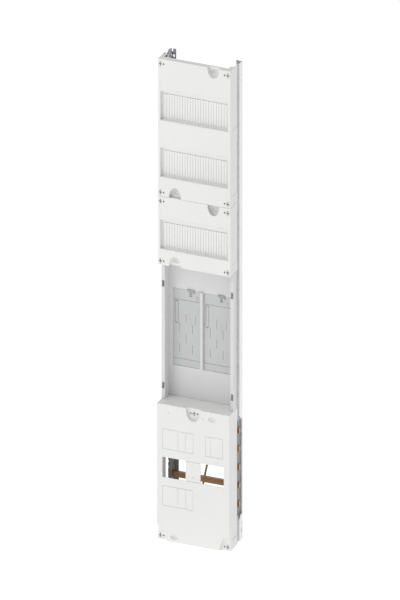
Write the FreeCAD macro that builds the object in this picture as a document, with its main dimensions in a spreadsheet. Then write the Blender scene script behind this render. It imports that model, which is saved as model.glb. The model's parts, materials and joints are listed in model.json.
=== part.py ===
"""Meter panel insert for a distribution cabinet: two support profiles, DIN rails, a meter tray
with two plug-in meter carriers, a five-pole busbar system and three sealable covers.

Frame: +Z up, the fronts face -Y. The origin is at the middle of the bottom of the whole insert.
Lengths are millimetres. "Depth" is counted backwards from the front of the upper covers.
"""
import FreeCAD, Part
import Sketcher
import math
import os
from types import SimpleNamespace
from FreeCAD import Placement, Rotation, Vector

SIZES = {
    # the field grid: a row of modules is 150 high, the field is 250 wide
    "field_width": 250, "bottom_height": 300, "tray_height": 300, "middle_height": 150,
    "top_height": 300, "body_depth": 100, "front_step": 9,
    # covers
    "cover_wall": 2.5, "cover_depth": 57, "cover_joint": 0.6, "shelf_drop": 1.5, "shelf_back_gap": 1,
    "panel_recess": 0.8, "panel_front": 12, "panel_margin": 21, "panel_gap": 30,
    # device windows and blanking strips
    "module_width": 18, "module_count": 12, "window_height": 51, "window_recess": 12,
    "frame_width": 235, "frame_below": 5.5, "frame_above": 8.5, "frame_slope": 3,
    "upper_window": 197, "lower_window": 73, "middle_window": 65, "strip_clear": 0.5,
    "strip_proud": 1, "strip_plate": 2, "strip_ledge": 1.5, "line_width": 1.5, "line_deep": 1,
    "label_height": 20, "label_gap": 4, "label_inset": 9, "label_deep": 0.4,
    # finger grips and recesses
    "grip_inset": 58.5, "grip_radius": 20.5, "grip_deep": 12, "grip_rise": 2, "scoop_rise": 11,
    "scoop_wide": 27, "scoop_high": 12, "scoop_deep": 6, "centre_radius": 25,
    "corner_radius": 33,
    # sealable quarter-turn screws
    "screw_inset": 8.4, "screw_head": 5.5, "screw_shank": 3, "screw_rise": 8.5, "screw_drop": 10.5,
    "head_thick": 3, "head_clear": 0.2, "shank_clear": 0.1, "boss_radius": 7,
    "boss_deep": 20, "ring_radius": 8, "ring_proud": 0.3, "slot_long": 10, "slot_wide": 1.7,
    "slot_deep": 2, "lug_long": 10, "lug_wide": 3.4, "lug_thick": 3, "lug_gap": 0.3,
    "key_clear": 0.6, "seal_hole": 4, "seal_pitch": 11.5, "centre_drop": 11.5,
    "top_lip": 20, "seam_lip": 15, "corner_plate": 12, "corner_plate_deep": 37,
    # bottom cover: break-out fields and openings
    "side_margin": 18.5, "opening_wide": 81, "opening_high": 44.5, "opening_low": 139,
    "row_pitch": 62, "field_left": 108, "field_split": 54, "field_second": 81, "field_right": 61,
    "right_start": 167.5, "right_split": 17, "groove_wide": 1.6, "groove_deep": 1.2,
    "tongue_ring": 2.5, "tongue_rise": 10, "grip_offset": 65.5, "grip_top": 15, "peg_hole": 1.25,
    "peg_drop": 17.5, "peg_left": 38.8, "peg_right": 159,
    # support profiles and side cheeks
    "sheet_thick": 2, "flange_inset": 4, "flange_front": 60, "web_wide": 17, "frame_drop": 3.5,
    "slot_pitch": 12.5, "slot_start": 6.5, "flange_slot": 12, "flange_slot_high": 6,
    "flange_slot_front": 80, "fixing_inset": 13.5, "fixing_rise": 19, "fixing_hole": 3.25,
    "notch_wide": 5, "notch_high": 7, "cheek_thick": 1.5, "cheek_front": 75, "cheek_cut_low": 58,
    "cheek_cut_high": 268, "cheek_hole": 2, "cheek_hole_in": 9, "cheek_hole_rise": 43,
    "cheek_slot_low": 17, "cheek_slot_high": 10,
    # cover bars
    "bar_front": 24, "bar_high": 17, "bar_offset": 1.5, "bar_leg_inset": 16, "bar_joggle": 44,
    "bar_flange_end": 94,
    "bar_side_gap": 1, "bar_slot_long": 30, "bar_slot_high": 6, "leg_high": 35, "joint_bar_high": 36,
    # rails
    "rail_front": 55, "rail_high": 35, "rail_hat": 27, "rail_deep": 7.5, "rail_thick": 1,
    "rail_inset": 8, "rail_slot_pitch": 25, "rail_slot_long": 15, "rail_slot_high": 6.2,
    "bracket_wide": 12, "bracket_high": 30,
    # small screws: every frame screw is an M5
    "bolt_radius": 2.4, "bolt_head": 4.4, "bolt_head_thick": 3, "bolt_length": 11,
    "bolt_clear": 0.15, "sink_radius": 4.5,
    # tray
    "tray_front": 28, "tray_back": 65, "tray_flange": 12, "tray_wall": 2, "tray_side_deep": 50,
    "key_slot_wide": 9, "key_slot_high": 14, "key_slot_rise": 28.5, "key_slot_drop": 49,
    "tray_foot": 6, "tray_foot_inset": 16, "tray_foot_low": 30, "tray_foot_high": 50,
    "tray_lip": 30, "tray_drop": 1.2, "rib_wide": 8.5, "rib_proud": 7,
    # meter carriers
    "carrier_wide": 94, "carrier_high": 167.5, "carrier_low": 66.5, "carrier_gap": 12,
    "carrier_clear": 0.6, "carrier_set_back": 1, "carrier_thick": 4, "carrier_edge": 3,
    "header_high": 24, "footer_high": 14.6, "housing_deep": 16, "housing_wall": 2,
    "housing_inset": 8, "contact_pitch": 22, "contact_long": 20, "contact_wide": 1,
    "contact_low": 38.5, "contact_first": 22, "extra_contact": 77, "guide_wide": 11.5,
    "guide_high": 49, "guide_inset": 6, "clip_thick": 0.8, "clip_deep": 10, "clip_gap": 0.2,
    "latch_wide": 24, "latch_high": 5.5, "latch_left": 49, "latch_thick": 3, "latch_travel": 5,
    "latch_clear": 0.4, "latch_proud": 3.5, "latch_bar": 4.5, "latch_hook": 3, "latch_stem": 8,
    "latch_rise": 2.3, "carrier_line": 1.4,
    # busbars
    "busbar_high": 12, "busbar_deep": 10, "busbar_pitch": 40, "busbar_first": 83,
    "busbar_count": 5, "busbar_front": 76, "busbar_inset": 2, "holder_low": 60, "holder_high": 206,
    "base_wide": 14, "base_thick": 5, "holder_out": 7, "holder_step": 9.5, "holder_in": 17,
    "cap_front": 60, "cap_gap": 0.2,
    "bar_clear": 0.15, "tooth_radius": 2.2, "tooth_pitch": 12.5, "ear_high": 6,
    # protective earth
    "earth_bar_low": 24, "earth_bar_high": 18, "earth_bar_thick": 3, "wire_radius": 3.2,
    "wire_left": 108, "wire_low": 46, "wire_top": 424, "lug_reach": 12,
    "wire_depth": 91.9, "barrel_radius": 4.1, "barrel_long": 9.5, "ring_plate": 1.2,
    "ring_outer": 6, "lug_fit": 0.05,
}

doc = FreeCAD.newDocument("meter_panel")
sheet = doc.addObject("Spreadsheet::Sheet", "sizes")


class Size:
    """A length made from sheet values: its number now, and the expression that keeps it bound."""

    def __init__(self, number, text):
        self.number = number
        self.text = text

    def __add__(self, other):
        other = size(other)
        return Size(self.number + other.number, f"({self.text} + {other.text})")

    def __sub__(self, other):
        other = size(other)
        return Size(self.number - other.number, f"({self.text} - {other.text})")

    def __mul__(self, factor):
        factor = size(factor)
        return Size(self.number * factor.number, f"({self.text} * {factor.text})")

    def __truediv__(self, divisor):
        divisor = size(divisor)
        return Size(self.number / divisor.number, f"({self.text} / {divisor.text})")

    def __neg__(self):
        return self * -1

    __radd__ = __add__
    __rmul__ = __mul__


def size(value):
    """A plain number or a Size, as a Size."""
    if isinstance(value, Size):
        return value
    return Size(float(value), f"({float(value)})")


def whole_steps(length, pitch):
    """How many whole pitches fit into a length."""
    return Size(math.floor(length.number / pitch.number), f"floor({length.text} / {pitch.text})")


def fill_sheet():
    """Writes every driving size into its own cell and returns the sizes by name."""
    cells = {}
    for row, (name, number) in enumerate(SIZES.items(), start=1):
        sheet.set(f"A{row}", str(number))
        sheet.setAlias(f"A{row}", name)
        cells[name] = Size(number, f"sizes.{name}")
    doc.recompute()
    return SimpleNamespace(**cells)


mm = fill_sheet()
half_width = mm.field_width / 2
tray_low = mm.bottom_height
middle_low = tray_low + mm.tray_height
top_low = middle_low + mm.middle_height
field_height = top_low + mm.top_height
sides = {"left": -1, "right": 1}
nodes = []


def at_depth(depth):
    """The Y of a depth behind the upper covers' fronts."""
    return size(depth) - (mm.body_depth + mm.front_step) / 2 + mm.front_step


def from_left(distance):
    """The X of a distance from the field's left edge."""
    return size(distance) - half_width


def inset(side, distance):
    """The X of a distance inwards from the left (-1) or right (1) edge."""
    return (half_width - distance) * side


# ---- building blocks -------------------------------------------------------------------------


def place(thing, x, y, z, turn=None):
    """Puts a thing at a place that follows the sheet."""
    if turn is not None:
        thing.Placement = Placement(Vector(), turn)
    for axis, value in zip("xyz", (x, y, z)):
        thing.setExpression(f"Placement.Base.{axis}", size(value).text)
    return thing


def bind(thing, **values):
    """Binds a thing's properties to the sheet."""
    for name, value in values.items():
        thing.setExpression(name, size(value).text)
    return thing


def block(name, x, y, z, across, deep, high):
    """A block from its lowest corner."""
    thing = bind(doc.addObject("Part::Box", name), Length=across, Width=deep, Height=high)
    return place(thing, x, y, z)


def middle_block(name, x, y, z, across, deep, high):
    """A block with its middle at x, its front at y and its middle height at z."""
    across, high = size(across), size(high)
    return block(name, size(x) - across / 2, y, size(z) - high / 2, across, deep, high)


ALONG_Y = Rotation(Vector(1, 0, 0), -90)


def rod(name, x, y, z, radius, length):
    """A round bar that starts at y and runs backwards."""
    thing = bind(doc.addObject("Part::Cylinder", name), Radius=radius, Height=length)
    return place(thing, x, y, z, ALONG_Y)


def joined(name, parts):
    """One solid from overlapping parts."""
    thing = doc.addObject("Part::MultiFuse", name)
    thing.Shapes = parts
    thing.Refine = True
    return thing


def group(name, parts):
    """Separate solids kept together."""
    thing = doc.addObject("Part::Compound", name)
    thing.Links = parts
    return thing


def cut(name, base, tools):
    """The base with every tool taken away."""
    thing = doc.addObject("Part::Cut", name)
    thing.Base = base
    thing.Tool = tools[0] if len(tools) == 1 else joined(name + "_tools", tools)
    thing.Refine = True
    return thing


def cut_apart(name, base, tools):
    """The base with tools taken away that never touch each other, such as a row of grooves."""
    thing = doc.addObject("Part::Cut", name)
    thing.Base = base
    thing.Tool = group(name + "_tools", tools)
    return thing


def keep(thing, label):
    """Names a finished sub-part: its label is its file's name."""
    thing.Label = label
    nodes.append(thing)
    return thing


def plane_of(body, role):
    """One of a body's own origin planes or axes."""
    return next(part for part in body.Origin.OriginFeatures if part.Role == role)


def sketch_on(body, role, name):
    """A sketch on one of the body's origin planes."""
    sketch = body.newObject("Sketcher::SketchObject", name)
    sketch.AttachmentSupport = (plane_of(body, role), [""])
    sketch.MapMode = "FlatFace"
    return sketch


def hold_point(sketch, edge, end, x, y):
    """Ties one point of a sketch to a place from the sheet."""
    for kind, value in (("DistanceX", x), ("DistanceY", y)):
        number = sketch.addConstraint(Sketcher.Constraint(kind, -1, 1, edge, end, value.number))
        sketch.setExpression(f"Constraints[{number}]", value.text)


def draw_outline(sketch, corners):
    """A closed outline of straight edges through the corners."""
    corners = [(size(x), size(y)) for x, y in corners]
    first = sketch.GeometryCount
    points = [Vector(x.number, y.number, 0) for x, y in corners]
    for here, there in zip(points, points[1:] + points[:1]):
        sketch.addGeometry(Part.LineSegment(here, there), False)
    for number, (x, y) in enumerate(corners):
        following = first + (number + 1) % len(corners)
        sketch.addConstraint(Sketcher.Constraint("Coincident", first + number, 2, following, 1))
        hold_point(sketch, first + number, 1, x, y)


def draw_long_hole(sketch, x, y, length, height):
    """A slot with round ends, its middle at (x, y)."""
    radius = height / 2
    reach = (length - height) / 2
    right, left, middle = x + reach, x - reach, y
    low, high = middle.number - radius.number, middle.number + radius.number
    near, far = left.number, right.number
    up = Vector(0, 0, 1)
    bottom = sketch.addGeometry(Part.LineSegment(Vector(near, low, 0), Vector(far, low, 0)), False)
    end = Part.ArcOfCircle(Part.Circle(Vector(far, middle.number, 0), up, radius.number),
                           -math.pi / 2, math.pi / 2)
    round_end = sketch.addGeometry(end, False)
    top = sketch.addGeometry(Part.LineSegment(Vector(far, high, 0), Vector(near, high, 0)), False)
    start = Part.ArcOfCircle(Part.Circle(Vector(near, middle.number, 0), up, radius.number),
                             math.pi / 2, math.pi * 3 / 2)
    round_start = sketch.addGeometry(start, False)
    loop = (bottom, round_end, top, round_start)
    for here, there in zip(loop, loop[1:] + loop[:1]):
        sketch.addConstraint(Sketcher.Constraint("Tangent", here, 2, there, 1))
    for arc, place_x in ((round_end, right), (round_start, left)):
        hold_point(sketch, arc, 3, place_x, middle)
        number = sketch.addConstraint(Sketcher.Constraint("Radius", arc, radius.number))
        sketch.setExpression(f"Constraints[{number}]", radius.text)


def padded_body(name, role, corners, length):
    """A body with one outline padded off an origin plane."""
    body = doc.addObject("PartDesign::Body", name)
    sketch = sketch_on(body, role, name + "_section")
    draw_outline(sketch, corners)
    pad = body.newObject("PartDesign::Pad", name + "_pad")
    pad.Profile = sketch
    bind(pad, Length=length)
    doc.recompute()
    return body


def row_of_holes(body, name, role, hole, direction, count, pitch):
    """Cuts one long hole right through the body and repeats it in a row."""
    sketch = sketch_on(body, role, name + "_outline")
    draw_long_hole(sketch, *hole)
    pocket = body.newObject("PartDesign::Pocket", name)
    pocket.Profile = sketch
    pocket.Type = "ThroughAll"
    pocket.Midplane = True
    doc.recompute()
    pattern = body.newObject("PartDesign::LinearPattern", name + "_row")
    pattern.Originals = [pocket]
    pattern.Direction = (plane_of(body, direction), [""])
    bind(pattern, Length=pitch * (count - 1), Occurrences=count)
    body.Tip = pattern
    return body


# ---- support profiles and side cheeks --------------------------------------------------------

web_front = mm.body_depth - mm.sheet_thick


def frame_screw(name, x, y, z, clear=0):
    """A countersunk screw that enters from the back of a profile's web and runs forwards."""
    clear = size(clear)
    head = doc.addObject("Part::Cone", name + "_head")
    bind(head, Radius1=mm.bolt_radius + clear, Radius2=mm.sink_radius + clear, Height=mm.sheet_thick)
    place(head, x, y - mm.sheet_thick, z, ALONG_Y)
    shank = rod(name + "_shank", x, y - mm.bolt_length, z, mm.bolt_radius + clear, mm.bolt_length)
    return joined(name, [head, shank])


def cap_screw(name, x, y, z, clear=0, length=None):
    """A screw with a round head that sits in front of y; its shank runs backwards from there."""
    clear = size(clear)
    length = size(length or mm.bolt_length)
    head = rod(name + "_head", x, y - mm.bolt_head_thick, z, mm.bolt_head + clear, mm.bolt_head_thick)
    shank = rod(name + "_shank", x, y - mm.bolt_head_thick / 2, z, mm.bolt_radius + clear,
                length + mm.bolt_head_thick / 2)
    return joined(name, [head, shank])


bracket_middle = mm.rail_inset + mm.bracket_wide / 2
rail_heights = {
    "1": field_height - mm.top_height + mm.upper_window,
    "2": field_height - mm.top_height + mm.lower_window,
    "3": middle_low + mm.middle_window,
}
holder_screw_heights = (mm.busbar_first + mm.busbar_pitch / 2,
                        mm.busbar_first + mm.busbar_pitch * 7 / 2)
holder_screw_inset = (mm.holder_step + mm.holder_in) / 2
tray_foot_heights = (tray_low + mm.tray_foot_low, middle_low - mm.tray_foot_high)
upper_lug_height = mm.wire_top + mm.lug_reach
earth_middle = mm.earth_bar_low + mm.earth_bar_high / 2


def web_screw_places(side):
    """Where a profile's web is screwed to what it carries: (inset, height)."""
    places = [(bracket_middle, height) for height in rail_heights.values()]
    places += [(holder_screw_inset, height) for height in holder_screw_heights]
    places += [(mm.tray_foot_inset, height) for height in tray_foot_heights]
    return [(inset(side, distance), height) for distance, height in places]


bar_heights = {
    "top": (field_height - mm.screw_drop - mm.bar_offset, mm.bar_high),
    "joint": (top_low + (mm.screw_rise - mm.screw_drop - mm.cover_joint) / 2, mm.joint_bar_high),
    "middle": (middle_low + mm.screw_rise + mm.bar_offset, mm.bar_high),
    "bottom": (mm.screw_rise + mm.bar_offset, mm.bar_high),
}
leg_reach = (mm.flange_slot_front + mm.flange_slot / 2)


def support_profile(name, side):
    """A perforated angle of folded sheet: a web at the back and an outer flange."""
    outer = inset(side, mm.flange_inset)
    thick = mm.sheet_thick * side
    edge_x = inset(side, mm.flange_inset + mm.web_wide)
    flange_y, back_y = at_depth(mm.flange_front), at_depth(mm.body_depth)
    web_y = at_depth(web_front)
    section = [
        (outer, flange_y), (outer, back_y), (edge_x, back_y), (edge_x, web_y),
        (outer - thick, web_y), (outer - thick, flange_y),
    ]
    length = field_height - mm.frame_drop * 2
    body = padded_body(name + "_sheet", "XY_Plane", section, length)
    place(body, 0, 0, mm.frame_drop)
    hole = (at_depth(mm.flange_slot_front) + mm.flange_slot / 2, mm.slot_start,
            mm.flange_slot, mm.flange_slot_high)
    # the last slot runs out of the sheet's top edge, as on a sheet cut to length
    count = whole_steps(length - mm.slot_start, mm.slot_pitch) + 2
    row_of_holes(body, name + "_slots", "YZ_Plane", hole, "Z_Axis", count, mm.slot_pitch)
    doc.recompute()
    tools = []
    # the flange stops where the busbar holder stands
    cut_wide = mm.sheet_thick + 2
    tools.append(middle_block(name + "_gap", outer - thick / 2, flange_y - 1,
                              (mm.cheek_cut_low + mm.cheek_cut_high) / 2, cut_wide,
                              web_front - mm.flange_front + 1,
                              mm.cheek_cut_high - mm.cheek_cut_low))
    for height in (mm.fixing_rise, field_height - mm.fixing_rise):
        tools.append(rod(name + "_fixing", inset(side, mm.fixing_inset), web_y - 1, height,
                         mm.fixing_hole, mm.sheet_thick + 2))
    # a relief in the web's top corner, where the sheet is folded
    tools.append(middle_block(name + "_relief", outer - thick - mm.notch_wide / 2 * side,
                              web_y - 1, field_height - mm.frame_drop, mm.notch_wide,
                              mm.sheet_thick + 2, mm.notch_high * 2))
    for number, (x, height) in enumerate(web_screw_places(side)):
        tools.append(frame_screw(f"{name}_sink_{number}", x, back_y, height, mm.bolt_clear))
    tools.append(rod(name + "_earth", inset(side, bracket_middle), web_y - 1, earth_middle,
                     mm.bolt_radius + mm.bolt_clear, mm.sheet_thick + 2))
    if side == 1:
        tools.append(rod(name + "_stud", inset(side, bracket_middle), web_y - 1, upper_lug_height,
                         mm.bolt_radius + mm.bolt_clear, mm.sheet_thick + 2))
    keep(cut(name + "_finished", body, tools), name)


def side_cheek(name, side):
    """A shallow folded cheek that closes the side; it is cut away round the busbar holder."""
    outer, inner = inset(side, 0), inset(side, mm.flange_inset)
    front_y, back_y = at_depth(mm.cheek_front), at_depth(mm.body_depth)
    wall, thick = mm.cheek_thick, mm.cheek_thick * side
    section = [
        (outer, front_y), (outer, back_y), (inner, back_y), (inner, back_y - wall),
        (outer - thick, back_y - wall), (outer - thick, front_y + wall),
        (inner, front_y + wall), (inner, front_y),
    ]
    body = padded_body(name + "_sheet", "XY_Plane", section, field_height - mm.frame_drop * 2)
    place(body, 0, 0, mm.frame_drop)
    wide = mm.flange_inset + 2
    middle_x = inset(side, mm.flange_inset / 2)
    deep = mm.body_depth - mm.cheek_front
    opening_high = mm.cheek_cut_high - mm.cheek_cut_low
    # the opening stops at the rear lip, which runs on behind the holder
    tools = [middle_block(name + "_opening", middle_x, front_y - 1,
                          (mm.cheek_cut_low + mm.cheek_cut_high) / 2, wide, deep + 1 - wall,
                          opening_high)]
    # the corners of the opening are sloped at the front
    for height in (mm.cheek_cut_low, mm.cheek_cut_high):
        slope = middle_block(name + "_slope", 0, -deep / 4, 0, wide, deep / 2, deep / 2)
        slope.Placement = Placement(Vector(), Rotation(Vector(1, 0, 0), 45))
        tools.append(place(slope, middle_x - wide / 2, front_y, height - deep * 0.354))
    hole_y = back_y - mm.cheek_hole_in
    for height in (field_height - mm.cheek_hole_rise, mm.cheek_hole_rise - 3):
        hole = bind(doc.addObject("Part::Cylinder", name + "_hole"), Radius=mm.cheek_hole, Height=wide)
        place(hole, middle_x - wide / 2, hole_y, height, Rotation(Vector(0, 1, 0), 90))
        tools.append(hole)
    tools.append(block(name + "_slot", middle_x - wide / 2, hole_y - mm.cheek_hole,
                       mm.cheek_slot_low, wide, mm.cheek_hole * 2, mm.cheek_slot_high))
    keep(cut(name + "_finished", body, tools), name)


for side_name, side in sides.items():
    support_profile("support_profile_" + side_name, side)
    side_cheek("side_cheek_" + side_name, side)


# ---- DIN rails on brackets -------------------------------------------------------------------

rail_back = mm.rail_front + mm.rail_deep
rail_length = mm.field_width - mm.rail_inset * 2


def din_rail(name, height):
    """A 35 mm top-hat rail with its row of long holes."""
    thick = mm.rail_thick
    top, hat = mm.rail_high / 2, mm.rail_hat / 2
    deep = mm.rail_deep
    section = [
        (0, top), (0, hat - thick), (deep - thick, hat - thick), (deep - thick, -hat + thick),
        (0, -hat + thick), (0, -top), (thick, -top), (thick, -hat), (deep, -hat), (deep, hat),
        (thick, hat), (thick, top),
    ]
    body = padded_body(name + "_sheet", "YZ_Plane", section, rail_length)
    place(body, from_left(mm.rail_inset), at_depth(mm.rail_front), height)
    count = whole_steps(rail_length - bracket_middle * 2 + mm.rail_inset * 2, mm.rail_slot_pitch)
    first = bracket_middle - mm.rail_inset + mm.rail_slot_pitch
    hole = (first, size(0), mm.rail_slot_long, mm.rail_slot_high)
    row_of_holes(body, name + "_slots", "XZ_Plane", hole, "X_Axis", count, mm.rail_slot_pitch)
    doc.recompute()
    tools = [rod(name + "_fixing", inset(side, bracket_middle), at_depth(rail_back - 2), height,
                 mm.bolt_radius + mm.bolt_clear, 3) for side in sides.values()]
    keep(cut(name + "_finished", body, tools), name)


def rail_bracket(name, side, height):
    """A folded bracket: a foot on the profile's web, a leg and a head that carries the rail."""
    thick = mm.sheet_thick
    outer = inset(side, mm.rail_inset + mm.bracket_wide / 2)
    leg = inset(side, mm.rail_inset + thick / 2)
    plates = [
        middle_block(name + "_foot", outer, at_depth(web_front - thick), height, mm.bracket_wide,
                     thick, mm.bracket_high),
        middle_block(name + "_head", outer, at_depth(rail_back), height, mm.bracket_wide, thick,
                     mm.rail_hat),
        middle_block(name + "_leg", leg, at_depth(rail_back), height, thick,
                     web_front - rail_back, mm.rail_hat),
    ]
    x = inset(side, bracket_middle)
    tools = [
        rod(name + "_foot_hole", x, at_depth(web_front - thick - 1), height,
            mm.bolt_radius + mm.bolt_clear, thick + 2),
        rod(name + "_head_hole", x, at_depth(rail_back - 1), height,
            mm.bolt_radius + mm.bolt_clear, thick + 2),
    ]
    keep(cut(name + "_finished", joined(name + "_plates", plates), tools), name)


rail_screws = []
for number, height in rail_heights.items():
    din_rail("din_rail_" + number, height)
    for side_name, side in sides.items():
        rail_bracket(f"rail_bracket_{side_name}_{number}", side, height)
        rail_screws.append(cap_screw("rail_screw", inset(side, bracket_middle),
                                     at_depth(rail_back - mm.rail_thick), height, 0,
                                     mm.bolt_length - 3))
keep(group("rail_screw_group", rail_screws), "rail_screws")


# ---- quarter-turn cover screws and the bars that hold them -----------------------------------

lug_front = mm.bar_front + mm.sheet_thick + mm.lug_gap


def cover_screw(name, x, height):
    """A quarter-turn screw: a cross-slotted head, a shank and a lug that locks behind its bar."""
    head = rod(name + "_head", x, at_depth(0), height, mm.screw_head, mm.head_thick)
    shank = rod(name + "_shank", x, at_depth(0), height, mm.screw_shank, lug_front + mm.lug_thick)
    lug = middle_block(name + "_lug", x, at_depth(lug_front), height, mm.lug_wide, mm.lug_thick,
                       mm.lug_long)
    slots = [
        middle_block(name + "_slot", x, at_depth(-1), height, mm.slot_long, mm.slot_deep + 1,
                     mm.slot_wide),
        middle_block(name + "_cross", x, at_depth(-1), height, mm.slot_wide, mm.slot_deep + 1,
                     mm.slot_long),
    ]
    keep(cut(name + "_finished", joined(name + "_turned", [head, shank, lug]), slots), name)


def key_hole(name, x, height):
    """The upright slot in a bar that a screw's lug passes through."""
    return middle_block(name, x, at_depth(mm.bar_front - 1), height, mm.screw_shank * 2 + mm.key_clear,
                        mm.sheet_thick + 2, mm.lug_long + mm.key_clear)


screw_places = {}
for side_name, side in sides.items():
    x = inset(side, mm.screw_inset)
    screw_places["cover_screw_top_upper_" + side_name] = (x, field_height - mm.screw_drop)
    screw_places["cover_screw_top_lower_" + side_name] = (x, top_low + mm.screw_rise)
    screw_places["cover_screw_middle_upper_" + side_name] = (x, top_low - mm.screw_drop - mm.cover_joint)
    screw_places["cover_screw_middle_lower_" + side_name] = (x, middle_low + mm.screw_rise)
    screw_places["cover_screw_bottom_" + side_name] = (x, mm.screw_rise)
centre_height = mm.bottom_height - mm.shelf_drop - mm.centre_drop
screw_places["cover_screw_bottom_centre"] = (size(0), centre_height)
for name, (x, height) in screw_places.items():
    cover_screw(name, x, height)


def cover_bar(name, height, high, screws):
    """A folded bar across the field: covers lock on its front, its joggled legs go to the flanges."""
    thick = mm.sheet_thick
    gap = mm.cover_wall + mm.bar_side_gap
    plates = [middle_block(name + "_front", 0, at_depth(mm.bar_front), height,
                           mm.field_width - gap * 2, thick, high)]
    tools = []
    low_leg = name == "cover_bar_top"
    leg_high = mm.leg_high if low_leg else high
    sheet_top = field_height - mm.frame_drop
    leg_middle = sheet_top - mm.leg_high / 2 if low_leg else height
    for side in sides.values():
        plates.append(middle_block(name + "_neck", inset(side, mm.bar_leg_inset + thick / 2),
                                   at_depth(mm.bar_front), height, thick,
                                   mm.bar_joggle - mm.bar_front + thick, high))
        step = mm.bar_leg_inset + thick - mm.flange_inset - thick
        plates.append(middle_block(name + "_step",
                                   inset(side, mm.flange_inset + thick + step / 2),
                                   at_depth(mm.bar_joggle), height, step, thick, high))
        plates.append(middle_block(name + "_leg", inset(side, mm.flange_inset + thick * 3 / 2),
                                   at_depth(mm.bar_joggle), leg_middle, thick,
                                   mm.bar_flange_end - mm.bar_joggle, leg_high))
        across = Rotation(Vector(0, 1, 0), 90)
        hole = bind(doc.addObject("Part::Cylinder", name + "_hole"), Height=thick * 4,
                    Radius=mm.bolt_radius + mm.bolt_clear)
        tools.append(place(hole, inset(side, mm.flange_inset + thick * 3 / 2) - thick * 2,
                           at_depth(leg_reach), bar_bolt_height(height), across))
        if low_leg:
            for slot_height in (sheet_top, sheet_top - mm.slot_pitch):
                tools.append(middle_block(name + "_slot", inset(side, mm.flange_inset + thick * 3 / 2),
                                          at_depth(mm.bar_joggle + 4), slot_height, thick * 4,
                                          mm.bar_slot_long - mm.bar_slot_high,
                                          mm.bar_slot_high))
    for x, screw_height in screws:
        tools.append(key_hole(name + "_key", x, screw_height))
    keep(cut(name + "_finished", joined(name + "_plates", plates), tools), name)


def bar_bolt_height(height):
    """The flange slot nearest a bar's middle, where its leg is bolted."""
    first = mm.frame_drop + mm.slot_start
    return first + whole_steps(height - first + mm.slot_pitch / 2, mm.slot_pitch) * mm.slot_pitch


def bar_bolt(name, side, height):
    """A screw from inside the leg out through a flange slot."""
    turn = Rotation(Vector(0, 1, 0), 90 * side)
    inner = inset(side, mm.flange_inset + mm.sheet_thick * 2)
    reach = mm.sheet_thick * 2 + 1
    head = bind(doc.addObject("Part::Cylinder", name + "_head"), Radius=mm.bolt_head, Height=2)
    place(head, inner - size(2) * side, at_depth(leg_reach), height, turn)
    shank = bind(doc.addObject("Part::Cylinder", name + "_shank"), Radius=mm.bolt_radius, Height=reach + 1)
    place(shank, inner - size(1) * side, at_depth(leg_reach), height, turn)
    return joined(name, [head, shank])


bar_screws = []
for bar_name, (height, high) in bar_heights.items():
    name = "cover_bar_" + bar_name
    held = [spot for spot in screw_places.values()
            if spot[0].number != 0 and abs(spot[1].number - size(height).number) < high.number / 2]
    cover_bar(name, height, high, held)
    for side in sides.values():
        bar_screws.append(bar_bolt("bar_screw", side, bar_bolt_height(height)))
keep(group("bar_screw_group", bar_screws), "bar_screws")


def centre_stay():
    """A bracket on the tray's lower lip that holds the bottom cover's middle screw."""
    name = "centre_stay"
    wide, high, thick = mm.screw_head * 4, mm.lug_long + mm.sheet_thick * 3, mm.sheet_thick
    low = centre_height - high / 2
    front, back = mm.bar_front, mm.tray_back
    plates = [
        block(name + "_front", -wide / 2, at_depth(front), low, wide, thick, high),
        block(name + "_arm", -wide / 2, at_depth(front), low, wide, back - front, thick),
        block(name + "_foot", -wide / 2, at_depth(back - thick), low, wide, thick, high),
    ]
    tools = [key_hole(name + "_key", 0, centre_height)]
    keep(cut(name + "_finished", joined(name + "_plates", plates), tools), name)


centre_stay()


# ---- covers ----------------------------------------------------------------------------------


def seal_screw_seat(name, x, height, floor):
    """The boss behind a cover screw, the raised ring round its head, and what is cut for it."""
    boss = rod(name + "_boss", x, at_depth(floor), height, mm.boss_radius, mm.boss_deep - floor)
    ring = rod(name + "_ring", x, at_depth(0) - mm.ring_proud, height, mm.ring_radius,
               mm.ring_proud + 1)
    sink = rod(name + "_sink", x, at_depth(-1), height, mm.screw_head + mm.head_clear,
               mm.head_thick + mm.head_clear + 1)
    bore = rod(name + "_bore", x, at_depth(0), height, mm.screw_shank + mm.shank_clear,
               mm.boss_deep + 1)
    ring_inner = rod(name + "_ring_inner", x, at_depth(-1), height, mm.ring_radius - 0.6, 1)
    return [boss, ring], [ring_inner, sink, bore]


def seal_hole(name, x, height):
    """The square hole for the sealing wire beside a screw."""
    return middle_block(name, x, at_depth(-1), height, mm.seal_hole, mm.cover_wall + 2, mm.seal_hole)


def scoop(name, x, y, z, wall):
    """A finger scoop in a wall whose front is at y: the cup behind it and the hollow."""
    cup = bind(doc.addObject("Part::Ellipsoid", name + "_cup"), Radius1=mm.scoop_high / 2 + wall,
               Radius2=mm.scoop_wide / 2 + wall, Radius3=mm.scoop_deep + wall)
    place(cup, x, y + 0.3, z)
    hollow = bind(doc.addObject("Part::Ellipsoid", name + "_hollow"), Radius1=mm.scoop_high / 2,
                  Radius2=mm.scoop_wide / 2, Radius3=mm.scoop_deep)
    place(hollow, x, y, z)
    return cup, hollow


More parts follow.
